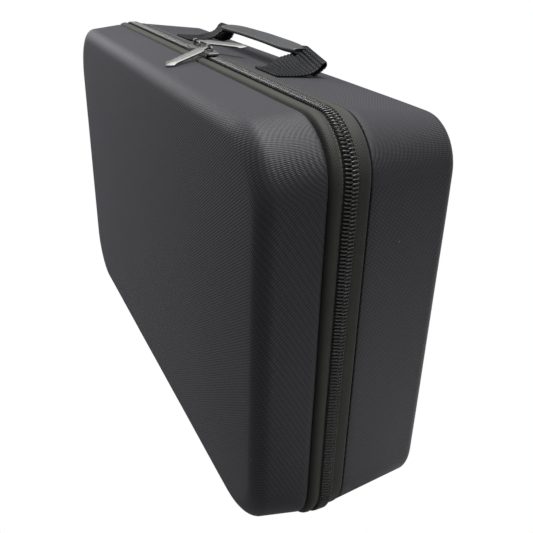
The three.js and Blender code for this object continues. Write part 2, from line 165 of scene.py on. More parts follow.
def end_material(tree, colour, height, bump, depth_mm, **settings):
    """Shader and output. colour and height are outputs, settings are values on the shader's own sockets."""
    relief = add_node(tree, "ShaderNodeBump", {"Strength": bump, "Distance": depth_mm * MM, "Height": height})
    inputs = {name.replace("_", " "): value for name, value in settings.items()}
    inputs["Base Color"] = colour
    inputs["Normal"] = relief.outputs["Normal"]
    shader = add_node(tree, "ShaderNodeBsdfPrincipled", inputs)
    add_node(tree, "ShaderNodeOutputMaterial", {"Surface": shader.outputs[0]})


def two_tone(tree, dark, light, share):
    """Dark to light by share, from 0 to 1."""
    ramp = add_node(tree, "ShaderNodeValToRGB", {"Fac": share})
    ramp.color_ramp.elements[0].color = linear(dark)
    ramp.color_ramp.elements[1].color = linear(light)
    return ramp.outputs["Color"]


def cloth_axes(tree):
    """Place on the cloth along and across it, in millimetres."""
    place = add_node(tree, "ShaderNodeUVMap", uv_map=CLOTH_UV)
    axes = add_node(tree, "ShaderNodeSeparateXYZ", {0: place.outputs[0]})
    return axes.outputs[0], axes.outputs[1]


def wave(tree, distance, pitch):
    """0 to 1 and back every pitch millimetres."""
    angle = calc(tree, "MULTIPLY", distance, 2 * math.pi / pitch)
    return calc(tree, "MULTIPLY_ADD", calc(tree, "SINE", angle), 0.5, 0.5)


def cloudy(tree, size_mm, detail=2.0):
    """Slow noise on the object's own coordinates, with patches of about size_mm."""
    place = add_node(tree, "ShaderNodeTexCoord").outputs["Object"]
    inputs = {"Vector": place, "Scale": 1 / (size_mm * MM), "Detail": detail}
    return add_node(tree, "ShaderNodeTexNoise", inputs).outputs["Fac"]


# ---- Materials ------------------------------------------------------------------------------
def oxford_nylon():
    """Woven nylon bonded to a moulded foam board: matt, with slanting rows of thread and stray lint."""
    material, tree = start_material("oxford_nylon_black")
    u, v = cloth_axes(tree)
    # Rows of thread slant across the cloth, and the crossing threads break each row into dashes.
    along = calc(tree, "MULTIPLY_ADD", u, -0.57, calc(tree, "MULTIPLY", v, 0.82))
    across = calc(tree, "MULTIPLY_ADD", u, 0.82, calc(tree, "MULTIPLY", v, 0.57))
    rows = wave(tree, along, WEAVE_PITCH)
    dashes = wave(tree, across, WEAVE_PITCH * 1.7)
    weave = calc(tree, "MULTIPLY", rows, calc(tree, "MULTIPLY_ADD", dashes, 0.7, 0.3))
    fibres = cloudy(tree, 1.1, 3.0)
    height = calc(tree, "MULTIPLY_ADD", fibres, 0.35, weave)
    patches = cloudy(tree, 60.0)
    tone = calc(tree, "MULTIPLY_ADD", patches, 0.2, calc(tree, "MULTIPLY", height, 0.7))
    cloth = two_tone(tree, "#060609", "#38373d", tone)
    place = add_node(tree, "ShaderNodeTexCoord").outputs["Object"]
    lint_spots = add_node(tree, "ShaderNodeTexVoronoi", {"Vector": place, "Scale": 1 / (17 * MM)})
    lint = calc(tree, "LESS_THAN", lint_spots.outputs["Distance"], 0.022)
    colour = add_node(tree, "ShaderNodeMix", {0: lint, 6: cloth, 7: linear("#77777a")}, data_type="RGBA")
    end_material(tree, colour.outputs[2], height, 0.5, 0.3, Roughness=0.58, Sheen_Weight=0.25,
                 Sheen_Roughness=0.45, Sheen_Tint=linear("#b6b4c0"), Specular_IOR_Level=0.5)
    return material


def zip_tape_twill():
    """Woven polyester zip tape: a fine herringbone with a slightly olive cast."""
    material, tree = start_material("polyester_zip_tape")
    u, v = cloth_axes(tree)
    zigzag = calc(tree, "PINGPONG", v, 2.6)
    rows = wave(tree, calc(tree, "ADD", u, zigzag), 1.5)
    threads = wave(tree, v, 0.8)
    height = calc(tree, "MULTIPLY_ADD", threads, 0.25, calc(tree, "MULTIPLY", rows, 0.75))
    tone = calc(tree, "MULTIPLY_ADD", cloudy(tree, 14.0), 0.3, calc(tree, "MULTIPLY", height, 0.6))
    colour = two_tone(tree, "#1b1b1a", "#3f3f3b", tone)
    end_material(tree, colour, height, 0.5, 0.25, Roughness=0.7, Sheen_Weight=0.3,
                 Sheen_Roughness=0.4, Sheen_Tint=linear("#c4c3b6"), Specular_IOR_Level=0.4)
    return material


def extruded_nylon():
    """Nylon monofilament for the coil: smooth and glossy, so that each turn has its own highlight."""
    material, tree = start_material("nylon_monofilament")
    grain = cloudy(tree, 2.0)
    colour = two_tone(tree, "#333433", "#4f504e", grain)
    end_material(tree, colour, grain, 0.1, 0.05, Roughness=0.28, Specular_IOR_Level=0.7)
    return material


def bonded_thread():
    """Bonded polyester sewing thread: a little paler than the cloth, with a soft shine."""
    material, tree = start_material("bonded_polyester_thread")
    grain = cloudy(tree, 0.8)
    colour = two_tone(tree, "#2b2b2a", "#5a5a56", grain)
    end_material(tree, colour, grain, 0.3, 0.08, Roughness=0.5, Sheen_Weight=0.2)
    return material


def grosgrain():
    """Ribbed binding tape round the raw edges: fine ribs across its width."""
    material, tree = start_material("grosgrain_binding")
    u, _ = cloth_axes(tree)
    ribs = wave(tree, u, 1.1)
    colour = two_tone(tree, "#111112", "#2c2c2e", ribs)
    end_material(tree, colour, ribs, 0.6, 0.3, Roughness=0.85, Sheen_Weight=0.15)
    return material


def brushed_tricot():
    """Brushed knitted lining bonded inside the shells: matt and slightly furry."""
    material, tree = start_material("brushed_tricot_lining")
    u, v = cloth_axes(tree)
    knit = calc(tree, "MULTIPLY", wave(tree, u, 1.3), wave(tree, v, 1.6))
    nap = cloudy(tree, 5.0, 5.0)
    height = calc(tree, "MULTIPLY_ADD", nap, 0.6, calc(tree, "MULTIPLY", knit, 0.4))
    colour = two_tone(tree, "#121214", "#2d2d31", height)
    end_material(tree, colour, height, 0.4, 0.3, Roughness=0.95, Sheen_Weight=0.6, Sheen_Roughness=0.6)
    return material


def polypropylene_webbing():
    """Woven polypropylene webbing: coarse ribs across it, each broken into a row of dots whose tops are
    painted lighter as a highlight, over a faint real shine.
    """
    material, tree = start_material("polypropylene_webbing")
    u, v = cloth_axes(tree)
    dots = calc(tree, "MULTIPLY", wave(tree, u, DOT_PITCH), wave(tree, v, RIB_PITCH))
    fine = wave(tree, u, 0.7)
    height = calc(tree, "MULTIPLY_ADD", fine, 0.15, calc(tree, "MULTIPLY", dots, 0.85))
    # The tops of the dots are painted lighter: a painted highlight on the near-black webbing.
    colour = two_tone(tree, "#040507", "#2a2b30", calc(tree, "POWER", height, 1.6))
    end_material(tree, colour, height, 0.7, 0.4, Roughness=0.5, Specular_IOR_Level=0.18)
    return material


def vinyl_sleeve():
    """Soft PVC sleeve on the handle: plain, smooth and mid grey, with a faint pebble."""
    material, tree = start_material("soft_pvc_sleeve")
    pebble = cloudy(tree, 0.9, 4.0)
    wear = cloudy(tree, 25.0)
    colour = two_tone(tree, "#303133", "#4b4c4d", calc(tree, "MULTIPLY_ADD", pebble, 0.3,
                                                         calc(tree, "MULTIPLY", wear, 0.7)))
    end_material(tree, colour, pebble, 0.25, 0.12, Roughness=0.52, Specular_IOR_Level=0.5)
    return material


def plated_zinc():
    """Die-cast zinc with a gunmetal plating: a satin metal with fine tumbling marks."""
    material, tree = start_material("gunmetal_plated_zinc")
    marks = cloudy(tree, 1.6, 4.0)
    colour = two_tone(tree, "#686866", "#8c8c8a", marks)
    end_material(tree, colour, marks, 0.15, 0.08, Roughness=0.56, Metallic=1.0)
    return material


def moulded_polypropylene():
    """Moulded polypropylene sheet: matt with a fine spark-eroded grain."""
    material, tree = start_material("moulded_polypropylene")
    grain = cloudy(tree, 0.7, 3.0)
    colour = two_tone(tree, "#26282a", "#383b3d", grain)
    end_material(tree, colour, grain, 0.3, 0.1, Roughness=0.6)
    return material


def pu_foam():
    """Open-cell polyurethane foam: dull charcoal with a fine scatter of pores."""
    material, tree = start_material("open_cell_pu_foam")
    place = add_node(tree, "ShaderNodeTexCoord").outputs["Object"]
    pores = add_node(tree, "ShaderNodeTexVoronoi", {"Vector": place, "Scale": 1 / (1.3 * MM)})
    height = calc(tree, "MULTIPLY_ADD", cloudy(tree, 9.0, 4.0), 0.4, pores.outputs["Distance"])
    colour = two_tone(tree, "#17181a", "#44464a", height)
    end_material(tree, colour, height, 0.6, 0.5, Roughness=0.97, Sheen_Weight=0.2)
    return material


def white_card():
    """White card under the case, seen so brightly lit that it keeps hardly any shadow."""
    material, tree = start_material("white_card")
    grain = cloudy(tree, 30.0)
    colour = two_tone(tree, "#c8c8c8", "#d4d4d4", grain)
    card = add_node(tree, "ShaderNodeBsdfPrincipled", {"Base Color": colour, "Roughness": 0.9})
    glare = add_node(tree, "ShaderNodeEmission", {"Color": (1, 1, 1, 1), "Strength": 1.0})
    seen = add_node(tree, "ShaderNodeLightPath").outputs["Is Camera Ray"]
    look = add_node(tree, "ShaderNodeMixShader", {0: seen, 1: card.outputs[0], 2: glare.outputs[0]})
    add_node(tree, "ShaderNodeOutputMaterial", {"Surface": look.outputs[0]})
    return material


# ---- Meshes ---------------------------------------------------------------------------------
def link(name, mesh):
    """A new object in the scene."""
    obj = bpy.data.objects.new(name, mesh)
    bpy.context.scene.collection.objects.link(obj)
    return obj


def applied(obj):
    """A new mesh of the object as its modifiers or its curve make it."""
    graph = bpy.context.evaluated_depsgraph_get()
    return bpy.data.meshes.new_from_object(obj.evaluated_get(graph), depsgraph=graph)


def shade_smooth(mesh):
    mesh.polygons.foreach_set("use_smooth", [True] * len(mesh.polygons))


def faced_out(mesh):
    """Merges doubles and turns the faces of a closed mesh outwards."""
    work = bmesh.new()
    work.from_mesh(mesh)
    bmesh.ops.remove_doubles(work, verts=work.verts, dist=0.005 * MM)
    if work.calc_volume(signed=True) < 0:
        bmesh.ops.reverse_faces(work, faces=work.faces)
    work.to_mesh(mesh)
    work.free()
    shade_smooth(mesh)
    mesh.update()


def ring_mesh(name, rings, place, material, ends="open"):
    """Skins rings of points. place(ring, step) is a corner's place on the cloth, in millimetres.

    ends: "open" for a stack whose ends already close, "loop" to join the last ring to the first,
    "caps" to put a face on the first and last ring.
    """
    count = len(rings[0])
    points = [to_frame(point) for ring in rings for point in ring]
    faces = []
    cloth = []
    for r in range(len(rings) if ends == "loop" else len(rings) - 1):
        near = r * count
        far = (r + 1) % len(rings) * count
        for i in range(count):
            j = (i + 1) % count
            faces.append((near + i, near + j, far + j, far + i))
            cloth += [place(r, i), place(r, i + 1), place(r + 1, i + 1), place(r + 1, i)]
    if ends == "caps":
        last = (len(rings) - 1) * count
        faces.append(tuple(reversed(range(count))))
        faces.append(tuple(range(last, last + count)))
        cloth += [place(0, i) for i in reversed(range(count))]
        cloth += [place(len(rings) - 1, i) for i in range(count)]
    mesh = bpy.data.meshes.new(name)
    mesh.from_pydata(points, [], faces)
    layer = mesh.uv_layers.new(name=CLOTH_UV)
    layer.data.foreach_set("uv", [c for pair in cloth for c in pair])
    mesh.materials.append(material)
    faced_out(mesh)
    return link(name, mesh)


def joined(name, parts):
    """One object made of several."""
    work = bmesh.new()
    for part in parts:
        made = applied(part)
        made.transform(part.matrix_world)
        work.from_mesh(made)
    mesh = bpy.data.meshes.new(name)
    work.to_mesh(mesh)
    work.free()
    mesh.materials.append(parts[0].data.materials[0])
    for part in parts:
        bpy.data.objects.remove(part)
    shade_smooth(mesh)
    return link(name, mesh)


def bevelled(obj, width, segments=3):
    """Rounds the sharp edges and applies the result."""
    bevel = obj.modifiers.new("edges", "BEVEL")
    bevel.width = width * MM
    bevel.segments = segments
    bevel.limit_method = "ANGLE"
    bevel.angle_limit = math.radians(28)
    made = applied(obj)
    obj.modifiers.clear()
    obj.data = made
    return obj


def settle(obj, body, slot, *nodes):
    """Gives a finished piece its body and hides the CAD nodes that it stands for. slot is not used."""
    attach(obj, body)
    if nodes:
        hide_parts(*nodes)


def smooth_line(points, steps):
    """Points on a Catmull-Rom curve through the given ones, with steps to each span."""
    padded = [points[0], *points, points[-1]]
    line = []
    for i in range(1, len(padded) - 2):
        a, b, c, d = (Vector(padded[i + k]) for k in (-1, 0, 1, 2))
        for k in range(steps):
            t = k / steps
            line.append(0.5 * (2 * b + (c - a) * t + (2 * a - 5 * b + 4 * c - d) * t ** 2
                               + (3 * b - a - 3 * c + d) * t ** 3))
    line.append(Vector(points[-1]))
    return line


# ---- Case outline ---------------------------------------------------------------------------
def outline(half_x, half_z, radius, steps=(CORNER_STEPS, LONG_STEPS, SHORT_STEPS)):
    """A rounded rectangle's points (x, z) with their outward directions, from the bottom left corner up."""
    corner_steps, long_steps, short_steps = steps
    points = []
    corners = [(-1, -1, 270, short_steps), (-1, 1, 180, long_steps),
               (1, 1, 90, short_steps), (1, -1, 0, long_steps)]
    for number, (sx, sz, start, straight) in enumerate(corners):
        for i in range(corner_steps + 1):
            angle = math.radians(start - 90 * i / corner_steps)
            out = Vector((math.cos(angle), math.sin(angle)))
            middle = Vector((sx * (half_x - radius), sz * (half_z - radius)))
            points.append((middle + out * radius, out))
        end, out = points[-1]
        nx, nz, angle, _ = corners[(number + 1) % 4]
        first = Vector((nx * (half_x - radius), nz * (half_z - radius)))
        first += Vector((math.cos(math.radians(angle)), math.sin(math.radians(angle)))) * radius
        points += [(end.lerp(first, k / straight), out) for k in range(1, straight)]
    return points


RIM = outline(HALF_X, HALF_Z, RIM_CORNER)


def lengths_round(points):
    """Distance round a closed outline up to each point, ending with the whole way round."""
    total = [0.0]
    for i in range(len(points)):
        total.append(total[-1] + (points[(i + 1) % len(points)][0] - points[i][0]).length)
    return total


# ---- Shells and linings ---------------------------------------------------------------------
FACE_RINGS = 16
WALL_RINGS = 10
ROUND_RINGS = 9
# The moulding's slow unevenness: how far the surface sways, and over what distance.
SWAY = 0.3
SWAY_SIZE = 55


def skin_profile(half, depth_in, rim, lip):
    """One skin's stations from the middle of the face to the rim: depth, inset, corner radius."""
    turn_radius = max(half.edge_round - depth_in, 2.0)
    floor = half.depth - depth_in
    turn = floor - turn_radius
    wall_inset = half.inset(turn)
    face_inset = wall_inset + turn_radius
    face_corner = half.corner(floor)
    reach = HALF_Z - depth_in - face_inset
    stations = []
    for k in range(FACE_RINGS):
        share = 1 - k / FACE_RINGS
        crown = half.crown * (1 - (1 - share) ** 2)
        inset = face_inset + reach * share * NEARLY_CLOSED
        radius = depth_in + (face_corner - depth_in) * (1 - NEARLY_CLOSED * share)
        stations.append((floor + crown, inset, radius))
    for k in range(ROUND_RINGS + 1):
        angle = math.pi / 2 * (1 - k / ROUND_RINGS)
        depth = turn + turn_radius * math.sin(angle)
        stations.append((depth, wall_inset + turn_radius * (1 - math.cos(angle)), half.corner(depth)))
    for k in range(1, WALL_RINGS + 1):
        depth = turn + (rim + lip - turn) * k / WALL_RINGS
        stations.append((depth, half.inset(depth), half.corner(depth)))
    if lip:
        for angle in (30, 60, 90):
            depth = rim + lip * (1 - math.sin(math.radians(angle)))
            inset = half.inset(depth) + lip * (1 - math.cos(math.radians(angle)))
            stations.append((depth, inset, half.corner(depth)))
    return [(d, inset + depth_in, max(r - depth_in, 0.01)) for d, inset, r in stations]


def moulded_tray(name, half, outer, inner, lip, material):
    """A moulded skin between two depths inside the surface, its cloth laid flat outwards from the face."""
    rim = half.tape + GAP
    skins = [skin_profile(half, outer, rim, lip), skin_profile(half, inner, rim, 0.0)[::-1]]
    rings = []
    cloth = []
    for skin in skins:
        face = min(range(len(skin)), key=lambda k: abs(skin[k][1] - skins[0][FACE_RINGS][1]))
        base = outline(HALF_X - skin[face][1], HALF_Z - skin[face][1], max(skin[face][2], 0.01))
        walked = [0.0]
        for k in range(1, len(skin)):
            walked.append(walked[-1] + math.dist(skin[k][:2], skin[k - 1][:2]))
        for k, (depth, inset, radius) in enumerate(skin):
            ring = outline(HALF_X - inset, HALF_Z - inset, radius)
            sway = [SWAY * noise.noise(Vector((p.x, half.side * depth, p.y)) / SWAY_SIZE)
                    for p, _ in ring]
            rings.append([(p.x + out.x * s, half.side * depth, p.y + out.y * s)
                          for (p, out), s in zip(ring, sway)])
            away = abs(walked[k] - walked[face])
            on_face = inset > skin[face][1]
            cloth.append([tuple(p if on_face else b + out * away)
                          for (p, out), (b, _) in zip(ring, base)])
    return ring_mesh(name, rings, lambda r, i: cloth[r][i % len(cloth[r])], material)


def add_shell(half, cloth, lining):
    """One moulded shell with its cover, and the lining bonded inside it."""
    shell = moulded_tray(f"{half.body}_shell_cover", half, 0.0, WALL, half.lip, cloth)
    settle(shell, half.body, "shell_fabric", f"{half.body}_shell")
    inside = WALL + GAP
    skin = moulded_tray(f"{half.body}_lining_cloth", half, inside, inside + LINING, 0.0, lining)
    settle(skin, half.body, "lining_fabric", f"{half.body}_lining")


# ---- Rim: tapes, bindings -------------------------------------------------------------------
TAPE_BACK = -3.5
COIL_WIDTH = 3.75
COIL_TOP = 2.55
COIL_CREST = 2.2
BINDING_LOW = -6.1
BINDING_HIGH = -3.8
BINDING_NEAR = 1.5
BINDING_STEPS = 24


def sweep(name, half, section, material):
    """A closed section of (depth, proud) points taken all round the rim."""
    rings = [[(p.x + out.x * proud, half.side * depth, p.y + out.y * proud) for depth, proud in section]
             for p, out in RIM]
    along = lengths_round(RIM)
    across = [0.0]
    for k in range(len(section)):
        across.append(across[-1] + math.dist(section[k], section[(k + 1) % len(section)]))
    return ring_mesh(name, rings, lambda r, i: (along[r], across[i]), material, "loop")


def add_tape(half, material):
    """The woven tape from the coil to the shell: it rolls up softly and dips into the seam."""
    seam = half.tape - GAP
    top = [(GAP, -0.25), (COIL_WIDTH + 0.1, -0.25), (COIL_WIDTH + 1.0, half.roll * 0.45),
           (seam * 0.62, half.roll), (seam * 0.82, half.roll * 0.95), (seam * 0.94, half.roll * 0.4),
           (seam * 0.985, half.seam_drop * 0.5), (seam, half.seam_drop)]
    section = [tuple(p) for p in smooth_line(top, 4)] + [(seam, TAPE_BACK), (GAP, TAPE_BACK)]
    tape = sweep(f"{half.body}_zip_tape_cloth", half, section, material)
    settle(tape, half.body, "zip_tape", f"{half.body}_zip_tape")


def add_binding(half, material):
    """The ribbed tape sewn over the raw edges inside the rim."""
    far = half.tape - GAP
    middle = ((BINDING_NEAR + far) / 2, (BINDING_LOW + BINDING_HIGH) / 2)
    section = []
    for k in range(BINDING_STEPS):
        angle = 2 * math.pi * k / BINDING_STEPS
        section.append((middle[0] + (far - BINDING_NEAR) / 2 * rounded(math.cos(angle)),
                        middle[1] + (BINDING_HIGH - BINDING_LOW) / 2 * rounded(math.sin(angle))))
    binding = sweep(f"{half.body}_rim_binding_tape", half, section, material)
    settle(binding, half.body, "rim_binding", f"{half.body}_rim_binding")


def rounded(value, power=0.45):
    """Squares off a sine or cosine, for a section between an oval and a box."""
    return math.copysign(abs(value) ** power, value)


# ---- Repeats along a path -------------------------------------------------------------------
OUTWARD = "outward"


def path_object(name, points):
    """A bare line with the outward direction kept at each point. points: (place, outward)."""
    mesh = bpy.data.meshes.new(name)
    edges = [(i, i + 1) for i in range(len(points) - 1)]
    mesh.from_pydata([to_frame(p) for p, _ in points], edges, [])
    attribute = mesh.attributes.new(OUTWARD, "FLOAT_VECTOR", "POINT")
    attribute.data.foreach_set("vector", [c for _, out in points for c in out])
    return link(name, mesh)


def start_repeat(name, sizes):
    """A tree that takes Path, the named sizes and Finish. Returns it, its inputs and its output node."""
    tree = bpy.data.node_groups.new(name, "GeometryNodeTree")
    tree.interface.new_socket("Path", in_out="INPUT", socket_type="NodeSocketGeometry")
    for size in sizes:
        tree.interface.new_socket(size, in_out="INPUT", socket_type="NodeSocketFloat")
    tree.interface.new_socket("Finish", in_out="INPUT", socket_type="NodeSocketMaterial")
    tree.interface.new_socket("Result", in_out="OUTPUT", socket_type="NodeSocketGeometry")
    given = add_node(tree, "NodeGroupInput").outputs
    return tree, given, add_node(tree, "NodeGroupOutput")


def end_repeat(tree, given, output, shape):
    """Sets the shape on the path every Spacing, its z outwards and its x along the path."""
    line = add_node(tree, "GeometryNodeMeshToCurve", {"Mesh": given["Path"]})
    spaced = add_node(tree, "GeometryNodeResampleCurve",
                      {"Curve": line.outputs[0], "Length": given["Spacing"]}, mode="LENGTH")
    outward = add_node(tree, "GeometryNodeInputNamedAttribute", {"Name": OUTWARD},
                       data_type="FLOAT_VECTOR")
    tangent = add_node(tree, "GeometryNodeInputTangent")
    up = add_node(tree, "FunctionNodeAlignRotationToVector", {"Vector": outward.outputs[0]}, axis="Z")
    turned = add_node(tree, "FunctionNodeAlignRotationToVector",
                      {"Rotation": up.outputs[0], "Vector": tangent.outputs[0]}, axis="X", pivot_axis="Z")
    copies = add_node(tree, "GeometryNodeInstanceOnPoints",
                      {"Points": spaced.outputs[0], "Instance": shape, "Rotation": turned.outputs[0]})
    real = add_node(tree, "GeometryNodeRealizeInstances", {0: copies.outputs[0]})
    smooth = add_node(tree, "GeometryNodeSetShadeSmooth", {0: real.outputs[0]})
    finish = add_node(tree, "GeometryNodeSetMaterial",
                      {"Geometry": smooth.outputs[0], "Material": given["Finish"]})
    tree.links.new(finish.outputs[0], output.inputs[0])


def coil_turn_tree():
    """One turn of a coil: a rounded rectangle of wire across the path, a little askew."""
    tree, given, output = start_repeat("zip_coil_turns", ["Spacing", "Wire", "Across", "Height", "Slant"])
    loop = add_node(tree, "GeometryNodeCurvePrimitiveQuadrilateral",
                    {"Width": given["Across"], "Height": given["Height"]})
    bend = calc(tree, "MULTIPLY", given["Height"], 0.42)
    soft = add_node(tree, "GeometryNodeFilletCurve",
                    {"Curve": loop.outputs[0], "Radius": bend, "Count": 2}, mode="POLY")
    wire = add_node(tree, "GeometryNodeCurvePrimitiveCircle", {"Resolution": 6, "Radius": given["Wire"]})
    bar = add_node(tree, "GeometryNodeCurveToMesh",
                   {"Curve": soft.outputs[0], "Profile Curve": wire.outputs[0]})
    stand = add_node(tree, "GeometryNodeTransform",
                     {"Geometry": bar.outputs[0], "Rotation": (math.pi / 2, 0, math.pi / 2)})
    spin = add_node(tree, "ShaderNodeCombineXYZ", {2: given["Slant"]})
    askew = add_node(tree, "GeometryNodeTransform",
                     {"Geometry": stand.outputs[0], "Rotation": spin.outputs[0]})
    end_repeat(tree, given, output, askew.outputs[0])
    return tree


def stitch_tree():
    """One stitch: a grain of thread lying along the path."""
    tree, given, output = start_repeat("stitch_row", ["Spacing", "Length", "Thread"])
    grain = add_node(tree, "GeometryNodeMeshUVSphere", {"Segments": 6, "Rings": 5, "Radius": 1.0})
    half = calc(tree, "MULTIPLY", given["Length"], 0.5)
    scale = add_node(tree, "ShaderNodeCombineXYZ", {0: half, 1: given["Thread"], 2: given["Thread"]})
    shaped = add_node(tree, "GeometryNodeTransform",
                      {"Geometry": grain.outputs[0], "Scale": scale.outputs[0]})
    end_repeat(tree, given, output, shaped.outputs[0])
    return tree


def repeat(name, points, tree, material, **sizes):
    """A plain mesh of what the tree sets along the path. Sizes are in millimetres, Slant in degrees."""
    obj = path_object(name, points)
    modifier = obj.modifiers.new("repeat", "NODES")
    modifier.node_group = tree
    for item in tree.interface.items_tree:
        if item.name in sizes:
            value = sizes[item.name]
            modifier[item.identifier] = math.radians(value) if item.name == "Slant" else value * MM
        if item.name == "Finish":
            modifier[item.identifier] = material
    made = applied(obj)
    obj.modifiers.clear()
    obj.data = made
    made.name = name
    return obj


def rim_line(half, depth, proud):
    """The whole way round the rim at one depth, as (place, outward)."""
    return [((p.x + out.x * proud, half.side * depth, p.y + out.y * proud), (out.x, 0, out.y))
            for p, out in RIM]


COIL_PITCH = 2.05
COIL_END_X = 150.0
COIL_OVERLAP = 0.45
COIL_FOOT = 0.1
COIL_SLANT = 7
WIRE = 0.42
STITCH_LENGTH = 0.94 * COIL_PITCH
STITCH_THREAD = 0.3
# The sewn row lies this far out from the coil's edge, and stands this far proud of the tape.
STITCH_OFFSET = 0.55
STITCH_PROUD = 0.15


def coil_line(half, depth, proud):
    """Along the zip, from one end on the underside round to the other."""
    shift = COIL_PITCH / 2 if half.side > 0 else 0.0
    turn = next(i for i, (p, out) in enumerate(RIM) if out.y > -0.999 and p.x < 0)
    around = rim_line(half, depth, proud)
    last = next(i for i in range(len(RIM) - 1, 0, -1) if RIM[i][1].y > -0.999)
    low = -HALF_Z - proud
    down = (0, 0, -1)
    start = ((-COIL_END_X + shift, half.side * depth, low), down)
    end = ((COIL_END_X + shift, half.side * depth, low), down)
    return [start, *around[turn - 1:last + 2], end]


def add_coil(half, turns, stitches, nylon, thread):
    """One half of the coil, and the row of stitches that holds it to its tape."""
    across = COIL_WIDTH + COIL_OVERLAP
    middle = COIL_WIDTH - across / 2
    line = coil_line(half, middle, (COIL_FOOT + COIL_CREST) / 2)
    coil = repeat(f"{half.body}_zip_coil_turns", line, turns, nylon, Spacing=COIL_PITCH, Wire=WIRE,
                  Across=across - 2 * WIRE, Height=COIL_CREST - COIL_FOOT - 2 * WIRE,
                  Slant=COIL_SLANT * half.side)
    settle(coil, half.body, "zip_coil", f"{half.body}_zip_coil")
    line = coil_line(half, COIL_WIDTH + STITCH_OFFSET, STITCH_PROUD)
    held = repeat(f"{half.body}_coil_stitches", line, stitches, thread,
                  Spacing=COIL_PITCH, Length=STITCH_LENGTH, Thread=STITCH_THREAD)
    settle(held, half.body, "zip_tape")


# ---- Hinge and end tabs ---------------------------------------------------------------------
BOX_SECTION_STEPS = 20
HINGE_STEPS = 24
# How far each end tab is drawn in from its CAD box, on every side.
END_TAB_INSET = 0.1


def flat_box(name, low, high, steps, material, edge):
    """A soft-edged box with enough steps along y to bend."""
    (x0, y0, z0), (x1, y1, z1) = low, high
    section = []
    for k in range(BOX_SECTION_STEPS):
        angle = 2 * math.pi * k / BOX_SECTION_STEPS
        section.append(((x0 + x1) / 2 + (x1 - x0) / 2 * rounded(math.cos(angle), edge),
                        (z0 + z1) / 2 + (z1 - z0) / 2 * rounded(math.sin(angle), 0.4)))
    rings = []
    for k in range(steps + 1):
        y = y0 + (y1 - y0) * k / steps
        rings.append([(x, y, z) for x, z in section])
    return ring_mesh(name, rings, lambda r, i: (section[i % BOX_SECTION_STEPS][0], (y1 - y0) * r / steps),
                     material, "caps")


def add_hinge(tape):
    """The cloth strip along the bottom that joins tub and lid."""
    low, high = (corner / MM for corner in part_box("fabric_hinge"))
    reach = high.y - SEAM_Y
    thick = high.z - low.z
    floor = low.z - CENTRE_Z
    start = (low.x, -reach, floor)
    strip = flat_box("hinge_strip", start, (high.x, reach, floor + thick), HINGE_STEPS, tape, 0.06)
    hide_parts("fabric_hinge")
    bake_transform(strip)


def add_end_tab(name, tape):
    """The cloth tab that closes one end of the coil."""
    low, high = case_box(name)
    inset = Vector((END_TAB_INSET,) * 3)
    tab = flat_box(f"{name}_cloth", low + inset, high - inset, 6, tape, 0.2)
    settle(tab, "tub", "zip_tape", name)


# ---- Sliders and pulls ----------------------------------------------------------------------
SLIDER_LENGTH = 19.0
SLIDER_WIDTH = 10.6
SLIDER_PLATE = 1.6
SKIRT_HALF = SLIDER_LENGTH * 0.36
BAIL_HALF = 5.4
BAIL_RADIUS = 0.8


def prism(name, corners, low, high, material):
    """An upright block on a plan of (x, y) corners."""
    count = len(corners)
    rings = [[(x, y, z) for x, y in corners] for z in (low, high)]
    return ring_mesh(name, rings, lambda r, i: corners[i % count], material, "caps")


def tube(name, line, radius, material, sides=12):
    """A round bar along a line of points in a plane of constant y."""
    rings = []
    for k, point in enumerate(line):
        ahead = (Vector(line[min(k + 1, len(line) - 1)]) - Vector(line[max(k - 1, 0)])).normalized()
        side = Vector((0, 1, 0))
        up = ahead.cross(side)
        rings.append([Vector(point) + radius * (math.cos(a) * side + math.sin(a) * up)
                      for a in (2 * math.pi * i / sides for i in range(sides))])
    return ring_mesh(name, rings, lambda r, i: (r, i), material, "caps")


def pull_pivot(name):
    """Where a pull hangs on its slider's bail, in case millimetres."""
    joint = next(j for j in frame["joints"] if j["name"] == f"pull_{name}_swing")
    return Vector(joint["pos_m"]) / MM - CASE_ORIGIN


def slider_plan(nose):
    """The slider's outline from above, round its own middle. nose is +1 or -1 along x."""
    half = SLIDER_LENGTH / 2
    side = SLIDER_WIDTH / 2
    edge = smooth_line([(-nose * half, 0.72 * side), (-nose * half * 0.3, 0.86 * side),
                        (nose * half * 0.35, side), (nose * half * 0.8, 0.85 * side),
                        (nose * half, 0.35 * side)], 4)
    top = [(p.x, p.y) for p in edge]
    return top + [(x, -y) for x, y in reversed(top)]


